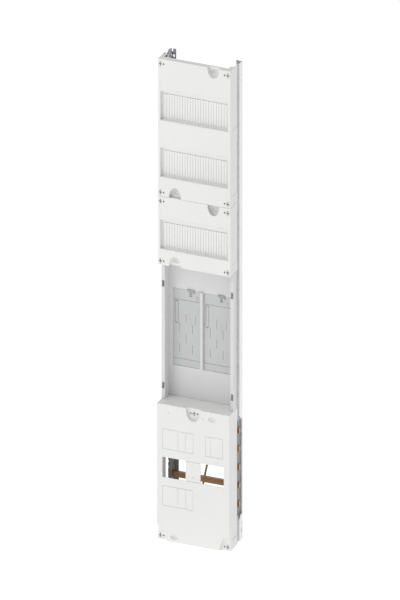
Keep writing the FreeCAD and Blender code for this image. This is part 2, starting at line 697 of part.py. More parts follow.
def grip_recess(name, x, edge, towards, front, floor, radius, rise, scooped):
    """A half-round recess at a cover's edge, open to that edge, with a scoop in its floor.

    towards is 1 when the cover lies above the edge and -1 when it lies below.
    """
    wall = mm.cover_wall
    middle = edge + rise * towards
    cup = rod(name + "_cup", x, at_depth(front), middle, radius + wall, floor + wall - front)
    hollow = rod(name + "_hollow", x, at_depth(front - 1), middle, radius, floor - front + 1)
    reach = rise + 1
    throat_low = middle if towards == -1 else middle - reach
    throat = block(name + "_throat", x - radius, at_depth(front - 1), throat_low, radius * 2,
                   floor - front + 1, reach)
    solids, hollows = [cup], [hollow, throat]
    if scooped:
        scoop_cup, scoop_hollow = scoop(name + "_scoop", x, at_depth(floor),
                                        edge + mm.scoop_rise * towards, wall)
        solids.append(scoop_cup)
        hollows.append(scoop_hollow)
    return solids, hollows


def device_window(name, height):
    """A window for twelve modules: a deep frame, sloped at its top, with an opening in its floor."""
    wall = mm.cover_wall
    low = height - mm.window_height / 2 - mm.frame_below
    frame_high = mm.window_height + mm.frame_below + mm.frame_above
    wide = mm.frame_width
    deep = mm.window_recess
    cup = block(name + "_cup", -(wide / 2 + wall), at_depth(0), low - wall, wide + wall * 2,
                deep + wall, frame_high + wall * 2)
    pocket = block(name + "_pocket", -wide / 2, at_depth(-1), low, wide, deep + 1,
                   frame_high - mm.frame_slope)
    slope = doc.addObject("Part::Wedge", name + "_slope")
    slope_low = low + frame_high - mm.frame_slope
    # the wedge narrows upwards: its back edge leans forward to the front face
    bind(slope, Xmin=0, Ymin=0, Zmin=0, X2min=0, Z2min=0, Xmax=deep + 1, X2max=1,
         Ymax=mm.frame_slope, Zmax=wide, Z2max=wide)
    turn = Rotation(Vector(0, 1, 0), Vector(0, 0, 1), Vector(1, 0, 0))
    place(slope, -wide / 2, at_depth(-1), slope_low, turn)
    opening = middle_block(name + "_opening", 0, at_depth(0), height,
                           mm.module_width * mm.module_count + mm.strip_clear * 2, deep + wall + 1,
                           mm.window_height + mm.strip_clear * 2)
    label = block(name + "_label", -half_width + mm.label_inset, at_depth(-1),
                  low + frame_high + mm.label_gap, mm.field_width - mm.label_inset * 2,
                  mm.label_deep + 1, mm.label_height)
    return [cup], [pocket, slope, opening, label]


def side_panels(name, spans, front):
    """The shallow flat recesses on both side walls of a cover, from (low, high) spans."""
    tools = []
    for low, high in spans:
        for side in sides.values():
            tools.append(middle_block(name + "_side_panel", inset(side, 0), at_depth(front),
                                      (low + high) / 2, mm.panel_recess * 2, mm.cover_depth,
                                      high - low))
    return tools


def shell(name, front, low, high):
    """A cover's front plate and its two side walls."""
    wall = mm.cover_wall
    outer = block(name + "_outer", from_left(0), at_depth(front), low, mm.field_width,
                  mm.cover_depth - front, high - low)
    inner = block(name + "_inner", from_left(wall), at_depth(front) + wall, low - 1,
                  mm.field_width - wall * 2, mm.cover_depth - front, high - low + 2)
    return cut(name + "_shell", outer, [inner])


def finish_cover(name, base, solids, hollows, low, high, front, late=()):
    """Joins a cover's inner parts, keeps them inside its outline, then cuts its hollows."""
    proud = mm.ring_proud if front.number == 0 else size(0)
    limits = block(name + "_limits", from_left(0), at_depth(front) - proud, low,
                   mm.field_width, mm.tray_back - front, high - low)
    whole = joined(name + "_whole", [base] + solids)
    kept = doc.addObject("Part::Common", name + "_kept")
    kept.Base = whole
    kept.Tool = limits
    finished = cut(name + "_cut", kept, hollows)
    if late:
        finished = cut_apart(name + "_lined", finished, list(late))
    keep(finished, name)


def add(pair, solids, hollows):
    """Adds a feature's solids and hollows to a cover's lists."""
    solids.extend(pair[0])
    hollows.extend(pair[1])


def seats_of(prefix, solids, hollows, floor=0):
    """Adds the seats and sealing holes of every cover screw whose name starts with prefix."""
    for screw_name, (x, height) in screw_places.items():
        if not screw_name.startswith(prefix):
            continue
        add(seal_screw_seat(screw_name + "_seat", x, height, size(floor)), solids, hollows)
        if x.number <= 0:
            hollows.append(seal_hole(screw_name + "_seal", x + mm.seal_pitch, height))
        if x.number >= 0:
            hollows.append(seal_hole(screw_name + "_seal", x - mm.seal_pitch, height))


def top_cover():
    """The two-row cover over the upper devices; it is open at its top and bottom."""
    name, low, high = "cover_top", top_low, field_height
    solids, hollows = [], []
    seats_of("cover_screw_top", solids, hollows)
    for row in ("1", "2"):
        add(device_window(f"{name}_window_{row}", rail_heights[row]), solids, hollows)
    grips = (("upper", inset(1, mm.grip_inset), high, -1), ("lower", inset(-1, mm.grip_inset), low, 1))
    for place_name, x, edge, towards in grips:
        add(grip_recess(f"{name}_grip_{place_name}", x, edge, towards, size(0), mm.grip_deep,
                        mm.grip_radius, mm.grip_rise, True), solids, hollows)
    solids.append(middle_block(name + "_lip", 0, at_depth(0), high - mm.cover_wall / 2,
                               mm.field_width, mm.top_lip, mm.cover_wall))
    for side in sides.values():
        solids.append(middle_block(name + "_corner", inset(side, mm.corner_plate / 2), at_depth(0),
                                   high - mm.cover_wall / 2, mm.corner_plate,
                                   mm.corner_plate_deep, mm.cover_wall))
    middle = (low + high) / 2
    spans = [(low + mm.panel_margin, middle - mm.panel_gap / 2),
             (middle + mm.panel_gap / 2, high - mm.panel_margin)]
    hollows += side_panels(name, spans, mm.panel_front)
    finish_cover(name, shell(name, size(0), low, high), solids, hollows, low, high, size(0))


def middle_cover():
    """The one-row cover above the meter tray; a lip along its top closes the seam above it."""
    name, low, high = "cover_middle", middle_low, top_low - mm.cover_joint
    solids, hollows = [], []
    solids.append(middle_block(name + "_lip", 0, at_depth(0), high - mm.cover_wall / 2,
                               mm.field_width, mm.seam_lip, mm.cover_wall))
    seats_of("cover_screw_middle", solids, hollows)
    add(device_window(name + "_window", rail_heights["3"]), solids, hollows)
    grips = (("upper", inset(1, mm.grip_inset), high, -1), ("lower", inset(-1, mm.grip_inset), low, 1))
    for place_name, x, edge, towards in grips:
        add(grip_recess(f"{name}_grip_{place_name}", x, edge, towards, size(0), mm.grip_deep,
                        mm.grip_radius, mm.grip_rise, True), solids, hollows)
    spans = [(low + mm.panel_margin, high - mm.panel_margin)]
    hollows += side_panels(name, spans, mm.panel_front)
    finish_cover(name, shell(name, size(0), low, high), solids, hollows, low, high, size(0))


def break_out(name, x, low, wide, splits, front):
    """The thin grooves round a break-out field, with its upright dividers."""
    y = at_depth(front) - 1
    deep = mm.groove_deep + 1
    width, high = mm.groove_wide, mm.opening_high
    lines = [
        block(name + "_low", x, y, low, wide, deep, width),
        block(name + "_high", x, y, low + high - width, wide, deep, width),
    ]
    for distance in (size(0), *splits, wide - width):
        lines.append(block(name + "_upright", x + distance, y, low, width, deep, high))
    return lines


def bottom_cover():
    """The deep cover over the busbars, with two open fields and break-out fields round them."""
    name, low, high = "cover_bottom", size(0), mm.bottom_height - mm.shelf_drop
    front = -mm.front_step
    wall = mm.cover_wall
    solids, hollows = [], []
    shelf_inset = mm.tray_flange + mm.shelf_back_gap
    solids.append(block(name + "_shelf", from_left(0), at_depth(front), high - wall, mm.field_width,
                        mm.tray_front - front - mm.shelf_back_gap, wall))
    solids.append(block(name + "_shelf_back", from_left(shelf_inset), at_depth(front), high - wall,
                        mm.field_width - shelf_inset * 2,
                        mm.tray_back - mm.shelf_back_gap - front, wall))
    add(grip_recess(name + "_centre", size(0), high, -1, front, size(0), mm.centre_radius,
                    mm.grip_rise, False), solids, hollows)
    for side in sides.values():
        corner = inset(side, 0)
        add(grip_recess(name + "_corner", corner, low, 1, front, size(0), mm.corner_radius,
                        size(0), False), solids, hollows)
    seats_of("cover_screw_bottom", solids, hollows)
    for place_name, x, height in (("upper", size(mm.grip_offset), high - mm.grip_top),
                                  ("lower", -mm.grip_offset, mm.screw_rise + 3)):
        cup, hollow = scoop(f"{name}_scoop_{place_name}", x, at_depth(front), height, wall)
        solids.append(cup)
        hollows.append(hollow)
    y = at_depth(front) - 1
    for side in sides.values():
        hollows.append(middle_block(name + "_opening",
                                    inset(side, mm.side_margin + mm.opening_wide / 2), y,
                                    mm.opening_low + mm.opening_high / 2, mm.opening_wide, wall + 2,
                                    mm.opening_high))
    for distance in (mm.peg_left, mm.peg_right):
        hollows.append(rod(name + "_peg", from_left(distance), y, high - mm.peg_drop, mm.peg_hole,
                           wall + 2))
    # grooves outline the fields that break out for more openings
    splits = [mm.field_split, mm.field_second]
    left, right = from_left(mm.side_margin), from_left(mm.right_start)
    upper_row, lower_row = mm.opening_low + mm.row_pitch, mm.opening_low - mm.row_pitch
    lines = []
    fields = (("upper_left", left, upper_row, mm.field_left, splits),
              ("upper_right", right, upper_row, mm.field_right, [mm.right_split]),
              ("lower_left", left, lower_row, mm.field_left, splits))
    for field_name, x, height, wide, cuts in fields:
        lines.append(joined(f"{name}_{field_name}",
                            break_out(f"{name}_{field_name}", x, height, wide, cuts, front)))
    tongue = mm.field_width - (mm.side_margin + mm.opening_wide) * 2
    for height in (mm.opening_low, mm.opening_low + mm.opening_high - mm.groove_wide):
        lines.append(block(name + "_tongue_line", -tongue / 2, y, height, tongue,
                           mm.groove_deep + 1, mm.groove_wide))
    mark = rod(name + "_mark", 0, y, mm.opening_low + mm.tongue_rise, mm.tongue_ring,
               mm.groove_deep + 1)
    core = rod(name + "_core", 0, y - 1, mm.opening_low + mm.tongue_rise, mm.tongue_ring - 0.6,
               mm.groove_deep + 3)
    lines.append(cut(name + "_ring_groove", mark, [core]))
    spans = [(low + mm.panel_margin, high - mm.panel_margin)]
    hollows += side_panels(name, spans, mm.front_step)
    finish_cover(name, shell(name, front, low, high), solids, hollows, low, high, front, lines)


def blanking_strip(name, height):
    """A snap-in strip that fills a window; lines every half module show where it breaks off."""
    wide, high = mm.module_width * mm.module_count, mm.window_height
    front = mm.window_recess - mm.strip_proud
    behind = mm.window_recess + mm.cover_wall + mm.lug_gap
    parts = [
        middle_block(name + "_plate", 0, at_depth(front), height, wide, behind - front, high),
        middle_block(name + "_ledge", 0, at_depth(behind), height, wide, mm.strip_ledge,
                     high + mm.strip_clear * 4),
    ]
    hollow = middle_block(name + "_hollow", 0, at_depth(front + mm.strip_plate), height,
                          wide - mm.strip_plate * 2, behind, high - mm.strip_plate * 2)
    body = cut(name + "_body", joined(name + "_solid", parts), [hollow])
    lines = []
    for number in range(1, int(mm.module_count.number) * 2):
        lines.append(middle_block(name + "_line", from_left(0) + (mm.field_width - wide) / 2
                                  + mm.module_width / 2 * number, at_depth(front - 1), height,
                                  mm.line_width, mm.line_deep + 1, high + 2))
    keep(cut_apart(name + "_lined", body, lines), name)


top_cover()
middle_cover()
bottom_cover()
for number, height in rail_heights.items():
    blanking_strip("blanking_strip_" + number, height)


# ---- meter tray and carriers -----------------------------------------------------------------

carrier_starts = {
    "left": -(mm.carrier_gap / 2 + mm.carrier_wide),
    "right": mm.carrier_gap / 2,
}
carrier_bottom = tray_low + mm.carrier_low


def meter_tray():
    """The moulded tray: side boxes with key slots, and a back plate that frames the carriers."""
    name = "meter_tray"
    wall, low, high = mm.tray_wall, tray_low - mm.tray_drop, middle_low - mm.cover_joint
    whole_high = high - low
    plates, tools = [], []
    for side in sides.values():
        flange = inset(side, mm.tray_flange / 2)
        plates.append(middle_block(name + "_flange", flange, at_depth(mm.tray_front),
                                   (low + high) / 2, mm.tray_flange, wall, whole_high))
        plates.append(middle_block(name + "_outer_wall", inset(side, wall / 2),
                                   at_depth(mm.tray_front), (low + high) / 2, wall,
                                   mm.tray_side_deep - mm.tray_front, whole_high))
        plates.append(middle_block(name + "_inner_wall", inset(side, mm.tray_flange - wall / 2),
                                   at_depth(mm.tray_front), (low + high) / 2, wall,
                                   mm.tray_back + wall - mm.tray_front, whole_high))
        for height in (tray_low + mm.key_slot_rise, middle_low - mm.key_slot_drop):
            tools.append(middle_block(name + "_key_slot", flange, at_depth(mm.tray_front - 1),
                                      height, mm.key_slot_wide, wall + 2, mm.key_slot_high))
        for height in tray_foot_heights:
            foot_x = inset(side, mm.tray_foot_inset)
            plates.append(rod(name + "_foot", foot_x, at_depth(mm.tray_back + wall / 2), height,
                              mm.tray_foot, web_front - mm.tray_back - wall / 2))
            tools.append(rod(name + "_foot_bore", foot_x, at_depth(web_front - mm.bolt_length),
                             height, mm.bolt_radius + mm.bolt_clear, mm.bolt_length + 1))
    inner_wide = mm.field_width - mm.tray_flange * 2
    plates.append(middle_block(name + "_back", 0, at_depth(mm.tray_back),
                               (low - mm.tray_lip + high) / 2, inner_wide, wall,
                               whole_high + mm.tray_lip))
    plates.append(middle_block(name + "_top", 0, at_depth(mm.tray_front), high - wall / 2,
                               inner_wide + wall, mm.tray_back - mm.tray_front + wall / 2, wall))
    plates.append(middle_block(name + "_rib", 0, at_depth(mm.tray_back - mm.rib_proud),
                               carrier_bottom + mm.carrier_high / 2, mm.rib_wide,
                               mm.rib_proud + wall / 2, mm.carrier_high + mm.carrier_clear * 2))
    for start in carrier_starts.values():
        tools.append(block(name + "_carrier_hole", start - mm.carrier_clear,
                           at_depth(mm.tray_back - 1), carrier_bottom - mm.carrier_clear,
                           mm.carrier_wide + mm.carrier_clear * 2, wall + 2,
                           mm.carrier_high + mm.carrier_clear * 2))
    keep(cut(name + "_finished", joined(name + "_plates", plates), tools), name)


def contact_places(start):
    """The middles of a carrier's contact slots: a staggered grid and one extra at the upper right."""
    places = []
    for column in range(3):
        for row in range(2):
            rise = mm.contact_pitch * (row * 2 + column % 2)
            places.append((start + mm.contact_first + mm.contact_pitch * column,
                           carrier_bottom + mm.contact_low + rise))
    places.append((start + mm.extra_contact,
                   carrier_bottom + mm.contact_low + mm.contact_pitch * 3))
    return places


def meter_carrier(side_name, start):
    """The plug-in plate for one meter, with its contact slots, guide and latch pocket."""
    name = "meter_carrier_" + side_name
    low, high = carrier_bottom, carrier_bottom + mm.carrier_high
    wide = mm.carrier_wide
    front = mm.tray_back + mm.carrier_set_back
    back = front + mm.carrier_thick
    inner = mm.housing_inset
    plates = [
        block(name + "_plate", start, at_depth(front), low, wide, mm.carrier_thick,
              mm.carrier_high),
        # the edge that lies behind the tray's back plate
        block(name + "_edge", start - mm.carrier_edge,
              at_depth(mm.tray_back + mm.tray_wall + mm.cap_gap), low - mm.carrier_edge,
              wide + mm.carrier_edge * 2, mm.carrier_thick - mm.carrier_set_back - mm.cap_gap,
              mm.carrier_high + mm.carrier_edge * 2),
        block(name + "_housing", start + inner, at_depth(back - 1), low + inner,
              wide - inner * 2, mm.housing_deep, mm.carrier_high - mm.header_high - inner),
    ]
    wall = mm.housing_wall
    tools = [
        block(name + "_hollow", start + inner + wall, at_depth(back), low + inner + wall,
              wide - (inner + wall) * 2, mm.housing_deep - wall - 1,
              mm.carrier_high - mm.header_high - inner - wall * 2),
    ]
    for number, (x, height) in enumerate(contact_places(start)):
        tools.append(middle_block(f"{name}_contact_{number}", x, at_depth(front - 1), height,
                                  mm.contact_wide, mm.carrier_thick + 2, mm.contact_long))
    # header and footer lines
    y = at_depth(front - 1)
    line = mm.carrier_line
    tools.append(block(name + "_header_line", start + 3, y, high - mm.header_high, wide - 6,
                       mm.groove_deep + 1, line))
    tools.append(block(name + "_footer_line", start - 1, y, low + mm.footer_high, wide + 2,
                       mm.groove_deep + 1, line))
    # a stepped key groove beside the contacts
    key_x, key_low = start + mm.contact_pitch * 5 / 2, low + mm.contact_low + mm.contact_pitch * 5 / 2
    for across, up, wide_part, high_part in ((0, 11, 1, 17), (0, 11, 7, 1), (6, -6, 1, 18)):
        tools.append(block(name + "_key_groove", key_x + across, y, key_low + up, wide_part,
                           mm.groove_deep / 2 + 1, high_part))
    # the guide: a long upright groove with a bar left standing in it
    guide_x = start + mm.guide_inset
    guide_high = high - mm.header_high - 2
    outer = block(name + "_guide", guide_x, y, guide_high - mm.guide_high, mm.guide_wide,
                  mm.groove_deep * 2 + 1, mm.guide_high)
    core = block(name + "_guide_core", guide_x + line, y - 1, guide_high - mm.guide_high + line,
                 mm.guide_wide - line * 2, mm.groove_deep * 2 + 3, mm.guide_high - line * 2)
    tools.append(cut(name + "_guide_groove", outer, [core]))
    # the pocket that the latch's stem slides in
    clear = mm.latch_clear
    tools.append(block(name + "_latch_pocket", start + mm.latch_left + mm.latch_stem - clear, y,
                       high - mm.latch_stem - mm.latch_travel - clear, mm.latch_stem + clear * 2,
                       mm.latch_thick + mm.cap_gap + 1, mm.latch_stem + mm.latch_travel + clear + 1))
    mark_x, mark_z = start + mm.extra_contact + 6, high - mm.header_high * 2 / 3
    mark = rod(name + "_mark", mark_x, y, mark_z, 4, mm.groove_deep + 1)
    core = rod(name + "_mark_core", mark_x, y - 1, mark_z, 3.2, mm.groove_deep + 3)
    tools.append(cut(name + "_mark_groove", mark, [core]))
    keep(cut(name + "_finished", joined(name + "_plates", plates), tools), name)


def carrier_latch(side_name, start):
    """The sliding latch at a carrier's top: a thin bar with a turned-down end for the finger.

    The bar rests in front of the tray's back plate; its stem slides in the carrier's pocket.
    """
    name = "carrier_latch_" + side_name
    high = carrier_bottom + mm.carrier_high
    front = mm.tray_back + mm.carrier_set_back
    x = start + mm.latch_left
    bar_thick = mm.latch_proud - mm.latch_thick / 2
    bar = block(name + "_bar", x, at_depth(front - mm.latch_proud), high + mm.latch_rise - mm.latch_bar,
                mm.latch_wide, bar_thick, mm.latch_bar)
    hook = block(name + "_hook", x + mm.latch_wide - mm.latch_hook, at_depth(front - mm.latch_proud),
                 high - mm.latch_high, mm.latch_hook, bar_thick, mm.latch_high)
    neck = block(name + "_neck", x + mm.latch_stem, at_depth(front - mm.latch_proud + bar_thick / 2),
                 high + mm.latch_rise - mm.latch_bar, mm.latch_stem,
                 mm.latch_proud + mm.latch_thick - bar_thick / 2,
                 mm.latch_bar - mm.latch_rise - mm.carrier_clear)
    stem = block(name + "_stem", x + mm.latch_stem, at_depth(front + mm.latch_clear),
                 high - mm.latch_stem, mm.latch_stem, mm.latch_thick - mm.latch_clear,
                 mm.latch_stem - mm.carrier_clear)
    keep(joined(name + "_finished", [bar, hook, neck, stem]), name)


def contact_clips(side_name, start):
    """The copper spring clips behind a carrier's slots: two prongs on a base, one per slot."""
    name = "contact_clips_" + side_name
    back = mm.tray_back + mm.carrier_set_back + mm.carrier_thick
    base_y = back + mm.housing_deep - mm.housing_wall - 1
    clips = []
    for x, height in contact_places(start):
        spread = mm.contact_wide / 2 + mm.clip_gap
        parts = [middle_block(name + "_base", x, at_depth(base_y - mm.clip_thick), height,
                              (spread + mm.clip_thick) * 2, mm.clip_thick, mm.contact_long - 4)]
        for way in (-1, 1):
            parts.append(middle_block(name + "_prong", x + (spread + mm.clip_thick / 2) * way,
                                      at_depth(base_y - mm.clip_deep), height, mm.clip_thick,
                                      mm.clip_deep, mm.contact_long - 4))
        clips.append(joined(name + "_clip", parts))
    keep(group(name + "_group", clips), name)


meter_tray()
for side_name, start in carrier_starts.items():
    meter_carrier(side_name, start)
    carrier_latch(side_name, start)
    contact_clips(side_name, start)


# ---- busbar system ---------------------------------------------------------------------------

busbar_count = int(mm.busbar_count.number)
holder_middle = mm.holder_low + mm.holder_high / 2


def busbar(number):
    """One flat copper bar from holder to holder."""
    height = mm.busbar_first + mm.busbar_pitch * number
    thing = middle_block(f"busbar_{number + 1}_bar", 0, at_depth(mm.busbar_front), height,
                         mm.field_width - mm.busbar_inset * 2, mm.busbar_deep, mm.busbar_high)
    keep(thing, f"busbar_{number + 1}")


def busbar_holder(side_name, side):
    """The moulded comb that the bars lie in, and the dark cap that closes it from the front."""
    name = "busbar_holder_" + side_name
    deep = web_front - mm.busbar_front
    body = middle_block(name + "_body", inset(side, (mm.holder_out + mm.holder_in) / 2),
                        at_depth(mm.busbar_front), holder_middle, mm.holder_in - mm.holder_out,
                        deep, mm.holder_high)
    base = middle_block(name + "_base", inset(side, mm.holder_in + mm.base_wide / 2 - 1),
                        at_depth(web_front - mm.base_thick), holder_middle, mm.base_wide + 2,
                        mm.base_thick, mm.holder_high)
    ears = [middle_block(name + "_ear", inset(side, (mm.holder_out + mm.holder_in) / 2),
                         at_depth(mm.busbar_front + deep / 2), height,
                         (mm.holder_in - mm.holder_out) / 2, deep / 4, mm.ear_high)
            for height in (mm.holder_low - mm.ear_high / 2 + 1,
                           mm.holder_low + mm.holder_high + mm.ear_high / 2 - 1)]
    tools = []
    for number in range(busbar_count):
        height = mm.busbar_first + mm.busbar_pitch * number
        tools.append(middle_block(name + "_notch", inset(side, mm.holder_in / 2),
                                  at_depth(mm.busbar_front - 1), height, mm.holder_in + 4,
                                  mm.busbar_deep + mm.bar_clear + 1,
                                  mm.busbar_high + mm.bar_clear * 2))
    screw_x = inset(side, holder_screw_inset)
    for height in holder_screw_heights:
        tools.append(rod(name + "_back_bore", screw_x, at_depth(web_front - mm.bolt_length), height,
                         mm.bolt_radius + mm.bolt_clear, mm.bolt_length + 1))
    for height in cap_screw_heights:
        tools.append(rod(name + "_front_bore", screw_x, at_depth(mm.busbar_front - 1), height,
                         mm.bolt_radius + mm.bolt_clear, mm.bolt_length))
    keep(cut(name + "_finished", joined(name + "_whole", [body, base] + ears), tools), name)

    name = "busbar_cap_" + side_name
    cap_deep = mm.busbar_front - mm.cap_gap - mm.cap_front
    body = middle_block(name + "_body", screw_x, at_depth(mm.cap_front), holder_middle,
                        mm.holder_in - mm.holder_step, cap_deep, mm.holder_high)
    tools = []
    edge = inset(side, mm.holder_step)
    for number in range(int(mm.holder_high.number / mm.tooth_pitch.number)):
        height = mm.holder_low + mm.tooth_pitch * (number + 1) - mm.tooth_pitch / 2
        tools.append(rod(name + "_tooth", edge, at_depth(mm.cap_front - 1), height,
                         mm.tooth_radius, cap_deep + 2))
    for height in cap_screw_heights:
        tools.append(rod(name + "_bore", screw_x, at_depth(mm.cap_front - 1), height,
                         mm.bolt_radius * 0.8 + mm.bolt_clear, cap_deep + 2))
    keep(cut_apart(name + "_finished", body, tools), name)


cap_screw_heights = (mm.busbar_first + mm.busbar_pitch * 3 / 2, mm.busbar_first + mm.busbar_pitch * 5 / 2)
for number in range(busbar_count):
    busbar(number)
for side_name, side in sides.items():
    busbar_holder(side_name, side)


def cap_bolt(name, side, height):
    """A slim screw through a cap into its holder."""
    x = inset(side, holder_screw_inset)
    radius = mm.bolt_radius * 0.8
    head = rod(name + "_head", x, at_depth(mm.cap_front) - 2, height, radius * 1.7, 2)
    shank = rod(name + "_shank", x, at_depth(mm.cap_front) - 1, height, radius,
                mm.busbar_front - mm.cap_front + mm.bolt_length - 3)
    return joined(name, [head, shank])


cap_screws = [cap_bolt("cap_screw", side, height)
              for side in sides.values() for height in cap_screw_heights]
keep(group("cap_screw_group", cap_screws), "cap_screws")


# ---- protective earth ------------------------------------------------------------------------

# The wire's route, as shares of the way across and of the way up from its lower lug to its upper
# one. It stays at one depth.
WIRE_ROUTE = [(0, 0), (0, 0.085), (0.1, 0.2), (0.26, 0.365), (0.4, 0.535), (0.59, 0.69),
              (0.8, 0.825), (1, 0.925), (1, 1)]


def rounded_path(corners):
    """Straight runs joined by tangent arcs, each arc as large as its two runs allow."""
    edges = []
    start = corners[0]
    for before, corner, after in zip(corners, corners[1:], corners[2:]):
        back, ahead = before - corner, after - corner
        reach = 0.45 * min(back.Length, ahead.Length)
        back.normalize()
        ahead.normalize()
        turn = math.pi - back.getAngle(ahead)
        radius = reach / math.tan(turn / 2)
        inwards = back + ahead
        inwards.normalize()
        centre = corner + inwards * math.hypot(radius, reach)
        first, last = corner + back * reach, corner + ahead * reach
        edges.append(Part.LineSegment(start, first).toShape())
        edges.append(Part.Arc(first, centre - inwards * radius, last).toShape())
        print(f"earth wire bend radius {radius:.0f} mm")
        start = last
    edges.append(Part.LineSegment(start, corners[-1]).toShape())
    return Part.Wire(edges)


def earth_wire():
    """The green and yellow wire from the earth bar up to the right-hand profile."""
    depth = at_depth(mm.wire_depth).number
    first_x, last_x = from_left(mm.wire_left).number, inset(1, bracket_middle).number
    low, high = mm.wire_low.number, mm.wire_top.number
    corners = [Vector(first_x + (last_x - first_x) * across, depth, low + (high - low) * up)
               for across, up in WIRE_ROUTE]
    path = rounded_path(corners)
    along = corners[1] - corners[0]
    radius = mm.wire_radius.number
    section = Part.Wire([Part.makeCircle(radius, corners[0], along)])
    tube = path.makePipeShell([section], True, False)
    wanted = math.pi * radius ** 2 * path.Length
    print(f"earth wire length {path.Length:.1f} mm, volume {tube.Volume / wanted:.4f} of section x length")
    thing = doc.addObject("Part::Feature", "earth_wire_tube")
    thing.Shape = tube
    keep(thing, "earth_wire")


def earth_lug(name, x, wire_z, towards, plate_back, ring_z):
    """A crimped ring lug: a barrel on the wire's end and a flat ring. towards is 1 or -1 in Z."""
    y = at_depth(mm.wire_depth)
    low = wire_z - 0.5 if towards == -1 else wire_z - mm.barrel_long + 0.5
    barrel = bind(doc.addObject("Part::Cylinder", name + "_barrel"), Radius=mm.barrel_radius,
                  Height=mm.barrel_long)
    place(barrel, x, y, low)
    bore = bind(doc.addObject("Part::Cylinder", name + "_bore"), Height=mm.barrel_long + 2,
                Radius=mm.wire_radius + mm.lug_fit)
    bore_low = low + 0.5 if towards == -1 else low - 2.5
    place(bore, x, y, bore_low)
    neck_low = ring_z if towards == -1 else low + mm.barrel_long - 0.2
    neck_high = low + 0.2 if towards == -1 else ring_z
    plate_y = at_depth(plate_back) - mm.ring_plate
    neck = block(name + "_neck", x - mm.wire_radius, plate_y, neck_low, mm.wire_radius * 2,
                 mm.ring_plate, neck_high - neck_low)
    bridge_y = y + mm.wire_radius - 1
    bridge_low = low - 1.5 if towards == -1 else low + mm.barrel_long - 0.5
    bridge = block(name + "_bridge", x - mm.wire_radius, bridge_y, bridge_low, mm.wire_radius * 2,
                   plate_y + mm.ring_plate - bridge_y, 2)
    ring = rod(name + "_ring", x, plate_y, ring_z, mm.ring_outer, mm.ring_plate)
    eye = rod(name + "_eye", x, plate_y - 1, ring_z, mm.bolt_radius + mm.bolt_clear,
              mm.ring_plate + 2)
    return cut(name, joined(name + "_whole", [barrel, neck, bridge, ring]), [bore, eye])


def earth_bar():
    """The steel bar between the profiles that carries the lower earth stud."""
    bar = middle_block("earth_bar_blank", 0, at_depth(web_front - mm.earth_bar_thick), earth_middle,
                       rail_length, mm.earth_bar_thick, mm.earth_bar_high)
    places = [inset(side, bracket_middle) for side in sides.values()] + [from_left(mm.wire_left)]
    tools = [rod("earth_bar_hole", x, at_depth(web_front - mm.earth_bar_thick - 1), earth_middle,
                 mm.bolt_radius + mm.bolt_clear, mm.earth_bar_thick + 2) for x in places]
    keep(cut("earth_bar_finished", bar, tools), "earth_bar")


earth_wire()
earth_bar()
bar_face = web_front - mm.earth_bar_thick
lower_lug = earth_lug("lower_lug", from_left(mm.wire_left), mm.wire_low, -1, bar_face,
                      earth_middle)
upper_lug = earth_lug("upper_lug", inset(1, bracket_middle), mm.wire_top, 1, web_front,
                      upper_lug_height)
keep(group("earth_lug_group", [lower_lug, upper_lug]), "earth_lugs")
earth_screws = [cap_screw("earth_end_screw", inset(side, bracket_middle), at_depth(bar_face),
                          earth_middle, 0, mm.earth_bar_thick + mm.sheet_thick)
                for side in sides.values()]
earth_screws.append(cap_screw("lower_stud", from_left(mm.wire_left),
                              at_depth(bar_face) - mm.ring_plate, earth_middle, 0,
                              mm.earth_bar_thick + mm.ring_plate + mm.sheet_thick))
earth_screws.append(cap_screw("upper_stud", inset(1, bracket_middle),
                              at_depth(web_front) - mm.ring_plate, upper_lug_height, 0,
                              mm.ring_plate + mm.sheet_thick))
keep(group("earth_screw_group", earth_screws), "earth_screws")
web_screws = [frame_screw("web_screw", x, at_depth(mm.body_depth), height)
              for side in sides.values() for x, height in web_screw_places(side)]
keep(group("web_screw_group", web_screws), "web_screws")


# ---- check and write -------------------------------------------------------------------------


def check_and_write():
    """Stops on any failed object, then writes each sub-part to its own file."""
    doc.recompute()
    for thing in doc.Objects:
        if {"Invalid", "Error"} & set(thing.State):
            raise RuntimeError(f"{thing.Name} ({thing.Label}) failed: {thing.State}")
    labels = [thing.Label for thing in nodes]
    if len(set(labels)) != len(labels):
        raise RuntimeError("two sub-parts share a label")
    os.makedirs("parts", exist_ok=True)
    for thing in nodes:
        shape = thing.Shape
        if shape.isNull() or not shape.isValid() or not shape.Solids:
            raise RuntimeError(f"{thing.Label} has no valid shape")
        shape.exportStep(f"parts/{thing.Label}.step")
        print(f"{thing.Label}: {len(shape.Solids)} solid(s), {shape.Volume:.0f} mm3")
    print(len(nodes), "sub-parts")


check_and_write()
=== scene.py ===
"""The looks of the meter panel insert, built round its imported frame. Lengths are metres."""

import json
import math

import bmesh
import bpy
from mathutils import Matrix, Vector

